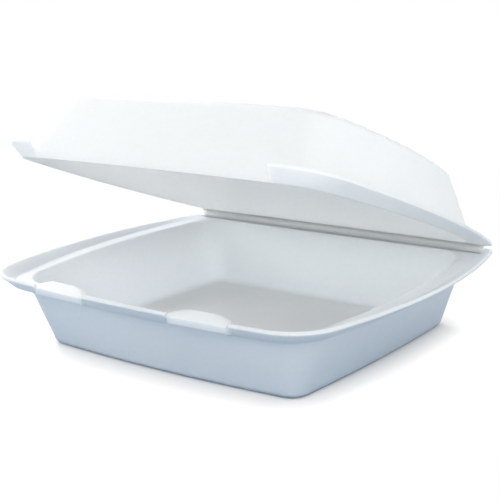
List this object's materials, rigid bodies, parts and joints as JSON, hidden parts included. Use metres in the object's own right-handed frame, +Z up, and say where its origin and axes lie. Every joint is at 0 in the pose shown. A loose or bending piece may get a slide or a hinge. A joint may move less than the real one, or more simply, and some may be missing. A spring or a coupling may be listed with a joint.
{
  "type": "foam hinged lid container",
  "caption": "Shallow flared foam food tray with a domed lid hinged along its back, stepped nesting rims and two folded lock tabs on the front lip.",
  "frame": {"origin": "centre of the tray's flat foot, on the surface it stands on", "axes": "+Z up, -Y towards the front with the lock tabs, +Y towards the hinge, +X to the right seen from the front"},
  "size_m": [0.24, 0.2058, 0.1401],
  "materials": {
    "foam_tray": "white fine-celled foam with a satin skin",
    "foam_lid": "white fine-celled foam with a satin skin"
  },
  "bodies": {
    "tray": {"tray": "foam_tray"},
    "lid": {"lid": "foam_lid"}
  },
  "joints": [
    {"name": "lid_hinge", "type": "hinge", "parent": "tray", "child": "lid", "pos_m": [0, 0.0988, 0.0434], "axis": [-1, 0, 0], "range_deg": [-21, 159]}
  ]
}
